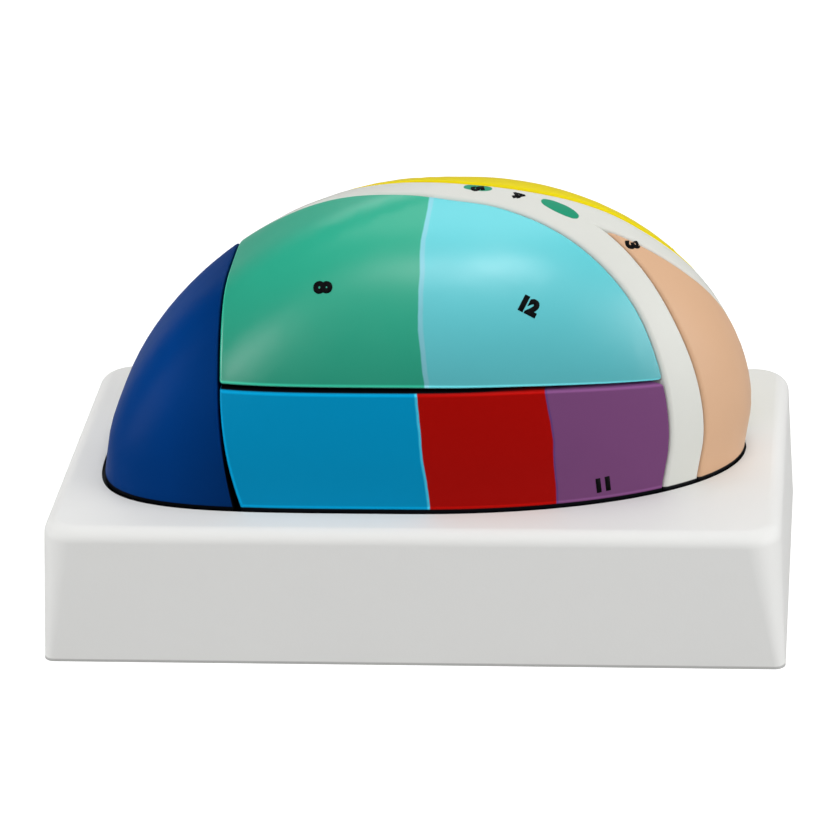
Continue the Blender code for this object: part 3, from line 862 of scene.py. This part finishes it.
def make_base():
    base = rounded_slab("base_shell", 0.0, 0.0, BASE_HEIGHT)
    floor = BASE_HEIGHT - WELL_DEPTH
    well = foot_prism("well", WELL_CLEARANCE, floor, BASE_HEIGHT + REACH)
    pocket = foot_prism("well underside", WELL_CLEARANCE + BASE_WALL, floor - BASE_WALL, REACH)
    hollow = rounded_slab("hollow", BASE_WALL, -BASE_WALL, BASE_HEIGHT - BASE_WALL)
    CUTTERS.append(hollow)
    carve(hollow, pocket, "DIFFERENCE")
    bake(hollow)
    carve(base, well, "DIFFERENCE")
    carve(base, hollow, "DIFFERENCE")
    bake(base)
    return base


# Paints

class Nodes:
    """Small helper to lay out a material's nodes."""

    def __init__(self, name):
        self.material = bpy.data.materials.new(name)
        self.material.use_nodes = True
        self.tree = self.material.node_tree
        self.shader = self.tree.nodes["Principled BSDF"]
        self.place = self.add("ShaderNodeTexCoord").outputs["Object"]

    def add(self, kind, **settings):
        node = self.tree.nodes.new(kind)
        for key, value in settings.items():
            setattr(node, key, value)
        return node

    def put(self, value, socket):
        if isinstance(value, bpy.types.NodeSocket):
            self.tree.links.new(value, socket)
        else:
            socket.default_value = value

    def math(self, operation, first, second=0.0, third=0.0):
        node = self.add("ShaderNodeMath", operation=operation)
        for value, socket in zip((first, second, third), node.inputs):
            self.put(value, socket)
        return node.outputs[0]

    def noise(self, scale, detail=2.0, roughness=0.5):
        node = self.add("ShaderNodeTexNoise")
        self.put(self.place, node.inputs["Vector"])
        self.put(scale, node.inputs["Scale"])
        self.put(detail, node.inputs["Detail"])
        self.put(roughness, node.inputs["Roughness"])
        return node.outputs["Fac"]

    def mix(self, share, first, second, kind="MIX"):
        node = self.add("ShaderNodeMix", data_type="RGBA", blend_type=kind)
        self.put(share, node.inputs["Factor"])
        self.put(first, node.inputs["A"])
        self.put(second, node.inputs["B"])
        return node.outputs["Result"]

    def minus(self, first, second):
        return self.math("SUBTRACT", first, second)

    def times(self, first, second):
        return self.math("MULTIPLY", first, second)

    def scaled(self, value, factor, start):
        return self.math("MULTIPLY_ADD", value, factor, start)

    def clamped(self, value):
        node = self.add("ShaderNodeClamp")
        self.put(value, node.inputs["Value"])
        return node.outputs[0]

    def step(self, value, soft):
        """0 below zero and 1 above it, over a short ramp."""
        return self.clamped(self.math("ADD", self.times(value, 1.0 / soft), 0.5))

    def axes(self):
        node = self.add("ShaderNodeSeparateXYZ")
        self.put(self.place, node.inputs[0])
        return list(node.outputs)


def colour_of(red, green, blue):
    """Colour given as it looks on a screen, turned into the linear values of a shader."""
    linear = []
    for value in (red, green, blue):
        share = value / 255
        linear.append(share / 12.92 if share <= 0.04045 else ((share + 0.055) / 1.055) ** 2.4)
    return (*linear, 1.0)


def finish_paint(nodes, colour, roughness=0.42, sheen=0.2, grain=0.06, clouds=0.08, fades=()):
    """Brushed satin paint: faint clouds in the colour, uneven gloss and a fine skin.

    A fade is painted shade, darker paint where shade should fall: an axis, where along it the paint is
    darkest, where the darkness ends, and the share of the light left at its darkest.
    """
    drift = nodes.noise(CLOUD_SCALE, 3.0)
    shade = nodes.scaled(drift, clouds, 1.0 - clouds / 2)
    # Painted shade: each fade darkens the colour along one axis
    for axis, dark_end, light_end, least in fades:
        past = nodes.minus(nodes.axes()["xyz".index(axis)], dark_end)
        rise = nodes.clamped(nodes.times(past, 1 / (light_end - dark_end)))
        shade = nodes.times(shade, nodes.scaled(rise, 1.0 - least, least))
    tinted = nodes.mix(1.0, colour, nodes.mix(shade, BLACK, WHITE), "MULTIPLY")
    nodes.put(tinted, nodes.shader.inputs["Base Color"])
    nodes.shader.inputs["Specular IOR Level"].default_value = sheen
    gloss = nodes.noise(GLOSS_SCALE)
    uneven = nodes.scaled(gloss, GLOSS_RANGE, roughness - GLOSS_RANGE / 2)
    nodes.put(uneven, nodes.shader.inputs["Roughness"])
    skin = nodes.noise(SKIN_SCALE, 2.0, 0.6)
    waves = nodes.noise(WAVE_SCALE, 1.0)
    height = nodes.scaled(waves, WAVE_SHARE, skin)
    bump = nodes.add("ShaderNodeBump")
    nodes.put(height, bump.inputs["Height"])
    bump.inputs["Strength"].default_value = grain
    bump.inputs["Distance"].default_value = BUMP_DISTANCE
    nodes.put(bump.outputs["Normal"], nodes.shader.inputs["Normal"])
    return nodes.material


def joint_distances(nodes, behind, tiers):
    """For each joint of a block, how far away a point of it is and where its painted shade line ends."""
    x, y, z = nodes.axes()
    found = [(nodes.minus(z, BASE_HEIGHT), FOOT_LINE)]
    drop = nodes.times(nodes.minus(BASE_HEIGHT + TIER_HEIGHT, z), 1 / TIER_HEIGHT)
    drop = nodes.math("MAXIMUM", drop, 0.0)
    flare = REAR_FLARE - REAR_OPENING if behind else REAR_FLARE
    start = REAR_CUT if behind else REAR_CUT + REAR_GAP
    face = nodes.scaled(nodes.times(drop, drop), flare, start)
    apart = nodes.minus(face, x) if behind else nodes.minus(x, face)
    found.append((apart, nodes.scaled(drop, REAR_LINE_FOOT - REAR_LINE_TOP, REAR_LINE_TOP)))
    if tiers:
        along = nodes.times(nodes.minus(x, TIER_DROP_START), 1 / TIER_DROP_LENGTH)
        along = nodes.math("MAXIMUM", along, 0.0)
        split = BASE_HEIGHT + TIER_HEIGHT + TIER_GAP / 2
        split = nodes.scaled(nodes.times(along, along), -TIER_DROP, split)
        apart = nodes.math("ABSOLUTE", nodes.minus(z, split))
        forward = nodes.clamped(nodes.times(x, 1 / (TIER_DROP_START + TIER_DROP_LENGTH)))
        line = nodes.scaled(forward, TIER_LINE_FRONT - TIER_LINE_REAR, TIER_LINE_REAR)
        found.append((nodes.minus(apart, TIER_GAP / 2), line))
    return found


def with_joints(nodes, colour, behind=False, tiers=False, edge_highlight=0.0):
    """Colour with painted highlights on the rounded edges of the joints, and painted shade, dark, where it
    stops.
    """
    joints = joint_distances(nodes, behind, tiers)
    # Painted highlight: the paint is made lighter on the rounded edges beside each joint
    if edge_highlight:
        highlight_mask = 0.0
        for apart, line in joints:
            past = nodes.minus(nodes.minus(apart, line), EDGE_HIGHLIGHT_PLACE)
            past = nodes.times(nodes.math("ABSOLUTE", past), 1 / EDGE_HIGHLIGHT_WIDTH)
            highlight_mask = nodes.math("MAXIMUM", nodes.clamped(nodes.minus(1.0, past)), highlight_mask)
        colour = nodes.mix(1.0, colour, nodes.scaled(highlight_mask, edge_highlight, 1.0), "MULTIPLY")
    # Painted shade: dark paint at each joint and at the foot, standing in for the shadow in the gap
    joint_shade = 0.0
    for apart, line in joints:
        near = nodes.step(nodes.minus(line, apart), LINE_SOFTNESS)
        joint_shade = nodes.math("MAXIMUM", near, joint_shade)
    return nodes.mix(joint_shade, colour, colour_of(*PAINTED_SHADE_COLOUR))


def plain_paint(name, colour, behind=False, **finish):
    nodes = Nodes(name)
    # painted shade at the joints and along the foot
    return finish_paint(nodes, with_joints(nodes, colour, behind), **finish)


def edge_line(nodes, z, stations):
    """X of a painted edge at each height, straight from station to station."""
    line = stations[0][1]
    for (low, first), (high, second) in zip(stations, stations[1:]):
        past = nodes.minus(z, BASE_HEIGHT + low)
        rise = nodes.clamped(nodes.times(past, 1 / (high - low)))
        line = nodes.scaled(rise, second - first, line)
    return line


def banded_paint(name, colours, edges, edge_highlight, **finish):
    """Fields of paint side by side along X, with hand-painted edges.

    Each edge is given as its stations, how wide a strip beside it is, on which side the
    strip lies, and the strip's colour and strength.
    """
    nodes = Nodes(name)
    x, y, z = nodes.axes()
    colour = colours[0]
    strips = []
    for number, (stations, width, side, tint) in enumerate(edges):
        unrest = nodes.noise(FIELD_WOBBLE_SCALE + FIELD_WOBBLE_STEP * number)
        wobble = nodes.scaled(unrest, FIELD_WOBBLE, -FIELD_WOBBLE / 2)
        past = nodes.minus(nodes.math("ADD", x, wobble), edge_line(nodes, z, stations))
        colour = nodes.mix(nodes.step(past, FIELD_SOFTNESS), colour, colours[number + 1])
        middle = nodes.math("ABSOLUTE", nodes.minus(past, side * width / 2))
        inside = nodes.minus(width / 2, middle)
        strips.append((nodes.step(inside, STRIP_SOFTNESS), tint))
    for mask, tint in strips:
        colour = nodes.mix(nodes.times(mask, tint[3]), colour, colour_of(*tint[:3]))
    # painted shade at the joints, and painted highlight on the edges beside them
    return finish_paint(nodes, with_joints(nodes, colour, tiers=True, edge_highlight=edge_highlight), **finish)


def lamina_paint(name, ground, spot):
    """White paint with green ovals brushed on its crown."""
    nodes = Nodes(name)
    x, y, z = nodes.axes()
    colour = ground
    for centre_x, centre_y, half_length, half_width, turn in OVALS:
        dx = nodes.minus(x, centre_x)
        dy = nodes.minus(y, centre_y + BODY_CENTRE_Y)
        along = nodes.scaled(dx, cos(turn), nodes.times(dy, sin(turn)))
        across = nodes.scaled(dx, -sin(turn), nodes.times(dy, cos(turn)))
        reach = []
        for value, half in ((along, half_length), (across, half_width)):
            share = nodes.math("ABSOLUTE", nodes.times(value, 1 / half))
            reach.append(nodes.math("POWER", share, OVAL_POWER))
        unrest = nodes.noise(OVAL_WOBBLE_SCALE)
        wobble = nodes.scaled(unrest, OVAL_WOBBLE, -OVAL_WOBBLE / 2)
        inside = nodes.minus(1.0, nodes.math("ADD", nodes.math("ADD", *reach), wobble))
        high = nodes.math("GREATER_THAN", z, BASE_HEIGHT + TIER_HEIGHT)
        mask = nodes.times(nodes.step(inside, OVAL_SOFTNESS), high)
        colour = nodes.mix(mask, colour, spot)
    # painted shade at the joints and along the foot
    return finish_paint(nodes, with_joints(nodes, colour), clouds=0.04)


def moulded_white(name, colour):
    """White moulded plastic with a faint grain, and painted shade, dark, in the well and along its foot."""
    nodes = Nodes(name)
    x, y, z = nodes.axes()
    # Painted shade in the well, where the gap round the body's feet lies in shadow
    well_shade_mask = nodes.step(nodes.minus(BASE_HEIGHT - WELL_SHADE, z), LINE_SOFTNESS)
    for value, half in ((x, BASE_WIDTH / 2), (y, BASE_DEPTH / 2)):
        room = nodes.minus(half - 2 * BASE_EDGE_RADIUS, nodes.math("ABSOLUTE", value))
        well_shade_mask = nodes.times(well_shade_mask, nodes.step(room, WELL_SOFTNESS))
    # Painted shade along the base's foot, where it meets the table
    foot = nodes.step(nodes.minus(BASE_FOOT_LINE, z), STRIP_SOFTNESS)
    colour = nodes.mix(nodes.times(foot, BASE_FOOT_SHADE), colour, colour_of(*BASE_FOOT_SHADE_COLOUR))
    colour = nodes.mix(well_shade_mask, colour, colour_of(*PAINTED_SHADE_COLOUR))
    return finish_paint(nodes, colour, roughness=0.50, sheen=0.12, grain=0.10, clouds=0.03)


# Index numbers

def print_number(name, text, centre, turn, height, weight, host, material):
    """Number in thin black print that follows the surface of its block."""
    curve = bpy.data.curves.new("number", "FONT")
    curve.body = text
    curve.size = height / FIGURE_SHARE
    curve.align_x = "CENTER"
    curve.align_y = "CENTER"
    curve.offset = weight
    curve.resolution_u = 4
    holder = bpy.data.objects.new("number", curve)
    bpy.context.scene.collection.objects.link(holder)
    graph = bpy.context.evaluated_depsgraph_get()
    mesh = bpy.data.meshes.new_from_object(holder.evaluated_get(graph))
    bpy.data.objects.remove(holder, do_unlink=True)

    x, y, z = centre
    middle = Vector((x, y + BODY_CENTRE_Y, z + BASE_HEIGHT))
    place, normal = host.find_nearest(middle)[:2]
    right = Vector((0.0, 0.0, 1.0)).cross(normal).normalized()
    up = normal.cross(right).normalized()
    right, up = right * cos(turn) + up * sin(turn), up * cos(turn) - right * sin(turn)

    bm = bmesh.new()
    bm.from_mesh(mesh)
    bmesh.ops.remove_doubles(bm, verts=bm.verts[:], dist=PRINT_WELD)
    bmesh.ops.subdivide_edges(bm, edges=[e for e in bm.edges if e.calc_length() > PRINT_STEP], cuts=1)
    bmesh.ops.triangulate(bm, faces=bm.faces[:])
    for vert in bm.verts:
        flat = place + right * vert.co.x + up * vert.co.y
        near, facing = host.find_nearest(flat)[:2]
        vert.co = near + facing * PRINT_HEIGHT
    skin = bm.faces[:]
    under = bmesh.ops.extrude_face_region(bm, geom=skin)
    for item in under["geom"]:
        if isinstance(item, bmesh.types.BMVert):
            near, facing = host.find_nearest(item.co)[:2]
            item.co = near - facing * PRINT_HEIGHT
    bmesh.ops.recalc_face_normals(bm, faces=bm.faces[:])
    obj = add_object(name, bm)
    obj.data.materials.append(material)
    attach(obj, "root")


def surface_of(*objects):
    """Lookup for the nearest point on the outside of the given pieces."""
    verts, faces = [], []
    for obj in objects:
        first = len(verts)
        verts.extend(v.co.copy() for v in obj.data.vertices)
        faces.extend([first + i for i in polygon.vertices] for polygon in obj.data.polygons)
    return BVHTree.FromPolygons(verts, faces)


def build_blocks():
    """The six blocks, each made the way its solid is made."""
    far = 2 * REACH
    near_lamina = smooth_course(in_body(LAMINA_NEAR_COURSE))
    far_lamina = smooth_course(in_body(LAMINA_FAR_COURSE))
    near_wedge = smooth_course(in_body(WEDGE_NEAR_COURSE))
    far_wedge = smooth_course(in_body(WEDGE_FAR_COURSE))

    def side_of(course, sign, name):
        line = with_tails(course)
        outline = line + [Vector((line[-1].x, sign * far)), Vector((line[0].x, sign * far))]
        return plan_prism(name, outline, -REACH, REACH, FORWARD_LEAN)

    lateral_side = side_of(offset_course(near_lamina, -SPLIT_GAP), -1, "lateral side")
    medial_side = side_of(offset_course(far_lamina, SPLIT_GAP), 1, "medial side")
    lamina_outline = with_tails(near_lamina) + with_tails(far_lamina)[::-1]
    lamina_band = plan_prism("lamina band", lamina_outline, -REACH, REACH, FORWARD_LEAN)
    wedge_outline = with_tails(near_wedge, rear=False) + with_tails(far_wedge, rear=False)[:0:-1]
    wedge = plan_prism("wedge", wedge_outline, -REACH, REACH, FORWARD_LEAN)
    beyond_near_arm = side_of(offset_course(near_wedge, SPLIT_GAP), 1, "beyond near arm")
    before_far_arm = side_of(offset_course(far_wedge, -SPLIT_GAP), -1, "before far arm")

    rear_line = rear_course(opening=REAR_OPENING)
    front_line = rear_course(shift=REAR_GAP)
    rear_part = side_prism("rear part", rear_line + [Vector((-far, REACH)), Vector((-far, -REACH))])
    front_part = side_prism("front part", front_line + [Vector((far, REACH)), Vector((far, -REACH))])
    lower_line = tier_course()
    upper_line = tier_course(shift=TIER_GAP)
    lower_part = side_prism("lower part", lower_line + [Vector((far, -far)), Vector((-REACH, -far))])
    upper_part = side_prism("upper part", upper_line + [Vector((far, far)), Vector((-REACH, far))])

    blocks = {
        "pulvinar": block("pulvinar_block", [rear_part]),
        "dorsal_tier": block("dorsal_tier_block", [lateral_side, front_part, upper_part]),
        "ventral_tier": block("ventral_tier_block", [lateral_side, front_part, lower_part]),
        "medullary_lamina": block("medullary_lamina_block", [lamina_band, front_part], [wedge]),
        "anterior_nucleus": block("anterior_nucleus_block", [beyond_near_arm, before_far_arm]),
        "mediodorsal_nucleus": block("mediodorsal_nucleus_block", [medial_side, front_part]),
    }
    fit_pegs(blocks["ventral_tier"], blocks["dorsal_tier"])
    return blocks


# Model

blocks = build_blocks()
base = make_base()

paints = {
    "pulvinar": plain_paint(
        "navy paint", colour_of(0, 58, 128), behind=True, sheen=0.02,
        # painted shade: the navy paint is darker towards the foot and towards the rear joint
        fades=[("z", BASE_HEIGHT, BASE_HEIGHT + 0.030, 0.78), ("x", -0.044, -0.064, 0.62)],
    ),
    "dorsal_tier": banded_paint(
        "green and cyan paint", [colour_of(46, 178, 145), colour_of(105, 215, 224)],
        [(GREEN_EDGE, 0.0012, 1, (150, 214, 230, 0.7))],
        # painted highlight on the rounded edges along the joints
        edge_highlight=1.2, sheen=0.45, roughness=0.30, grain=0.03,
        # painted shade: this paint is darker towards the foot of the upper tier
        fades=[("z", BASE_HEIGHT + 0.033, BASE_HEIGHT + 0.070, 0.62)],
    ),
    "ventral_tier": banded_paint(
        "blue, red and purple paint",
        [colour_of(0, 137, 184), colour_of(159, 9, 5), colour_of(115, 69, 115)],
        [(BLUE_EDGE, 0.0006, -1, (70, 196, 226, 0.8)), (RED_EDGE, 0.0004, 1, (70, 54, 120, 0.7))],
        # painted highlight on the rounded edges along the joints
        edge_highlight=0.6, sheen=0.04,
    ),
    "medullary_lamina": lamina_paint(
        "white and green paint", colour_of(216, 217, 211), colour_of(20, 146, 110)
    ),
    "anterior_nucleus": plain_paint("peach paint", colour_of(215, 174, 140)),
    "mediodorsal_nucleus": plain_paint("yellow paint", colour_of(232, 212, 14), sheen=0.06),
}
for node, piece in blocks.items():
    finish_surface(piece, node, paints[node])
finish_surface(base, "base", moulded_white("moulded white", colour_of(232, 232, 230)))

ink_nodes = Nodes("black print")
ink = finish_paint(ink_nodes, colour_of(10, 10, 12), roughness=0.5, sheen=0.05, clouds=0.0)
outer = surface_of(*blocks.values())
for count, (text, *layout) in enumerate(NUMBERS, 1):
    print_number(f"index_number_{text}_{count}", text, *layout, outer, ink)
for cutter in CUTTERS:
    bpy.data.objects.remove(cutter, do_unlink=True)


# Studio

def studio_sheet():
    """White table that curves up into a white wall behind the object."""
    bm = bmesh.new()
    profile = [(SHEET_FRONT, 0.0), (BEND_START, 0.0)]
    for i in range(1, BEND_STEPS + 1):
        turn = pi / 2 * i / BEND_STEPS
        profile.append((BEND_START + BEND_RADIUS * sin(turn), BEND_RADIUS * (1 - cos(turn))))
    profile.append((BEND_START + BEND_RADIUS, WALL_TOP))
    rows = [[bm.verts.new((x, y, z)) for x in (-SHEET_HALF_WIDTH, SHEET_HALF_WIDTH)] for y, z in profile]
    for low, high in zip(rows, rows[1:]):
        bm.faces.new((low[0], low[1], high[1], high[0]))
    sheet = add_object("studio_sheet", bm)
    sheet.data.shade_smooth()
    nodes = Nodes("white sheet")
    nodes.shader.inputs["Base Color"].default_value = (SHEET_GREY, SHEET_GREY, SHEET_GREY, 1.0)
    nodes.shader.inputs["Roughness"].default_value = 0.9
    seen = nodes.add("ShaderNodeLightPath").outputs["Is Camera Ray"]
    nodes.put(nodes.times(seen, SHEET_GLOW), nodes.shader.inputs["Emission Strength"])
    nodes.shader.inputs["Emission Color"].default_value = WHITE
    sheet.data.materials.append(nodes.material)


def area_light(name, place, size, power):
    light = bpy.data.lights.new(name, "AREA")
    light.shape = "RECTANGLE"
    light.size, light.size_y = size
    light.energy = power
    holder = bpy.data.objects.new(name, light)
    bpy.context.scene.collection.objects.link(holder)
    holder.location = place
    holder.rotation_euler = (Vector(LIGHT_TARGET) - Vector(place)).to_track_quat("-Z", "Y").to_euler()


def set_camera():
    """Camera where the photograph was taken from."""
    right = Vector((cos(CAMERA_YAW), sin(CAMERA_YAW), 0.0))
    level = Vector((-sin(CAMERA_YAW), cos(CAMERA_YAW), 0.0))
    forward = level * cos(CAMERA_PITCH) - Vector((0.0, 0.0, sin(CAMERA_PITCH)))
    up = right.cross(forward)
    camera_right = right * cos(CAMERA_ROLL) + up * sin(CAMERA_ROLL)
    camera_up = up * cos(CAMERA_ROLL) - right * sin(CAMERA_ROLL)
    data = bpy.data.cameras.new("camera")
    data.sensor_width = FILM_WIDTH
    data.lens = FILM_WIDTH * FOCAL_PIXELS / PICTURE_PIXELS
    data.clip_end = 50.0
    camera = bpy.data.objects.new("camera", data)
    bpy.context.scene.collection.objects.link(camera)
    turn = Matrix((camera_right, camera_up, -forward)).transposed().to_4x4()
    camera.matrix_world = Matrix.Translation(CAMERA_PLACE) @ turn
    bpy.context.scene.camera = camera


studio_sheet()
for light in LIGHTS:
    area_light(*light)
world = bpy.data.worlds.new("studio")
world.use_nodes = True
background = world.node_tree.nodes["Background"]
background.inputs["Color"].default_value = WHITE
background.inputs["Strength"].default_value = WORLD_LIGHT
bpy.context.scene.world = world
bpy.context.scene.view_settings.view_transform = "Standard"
set_camera()
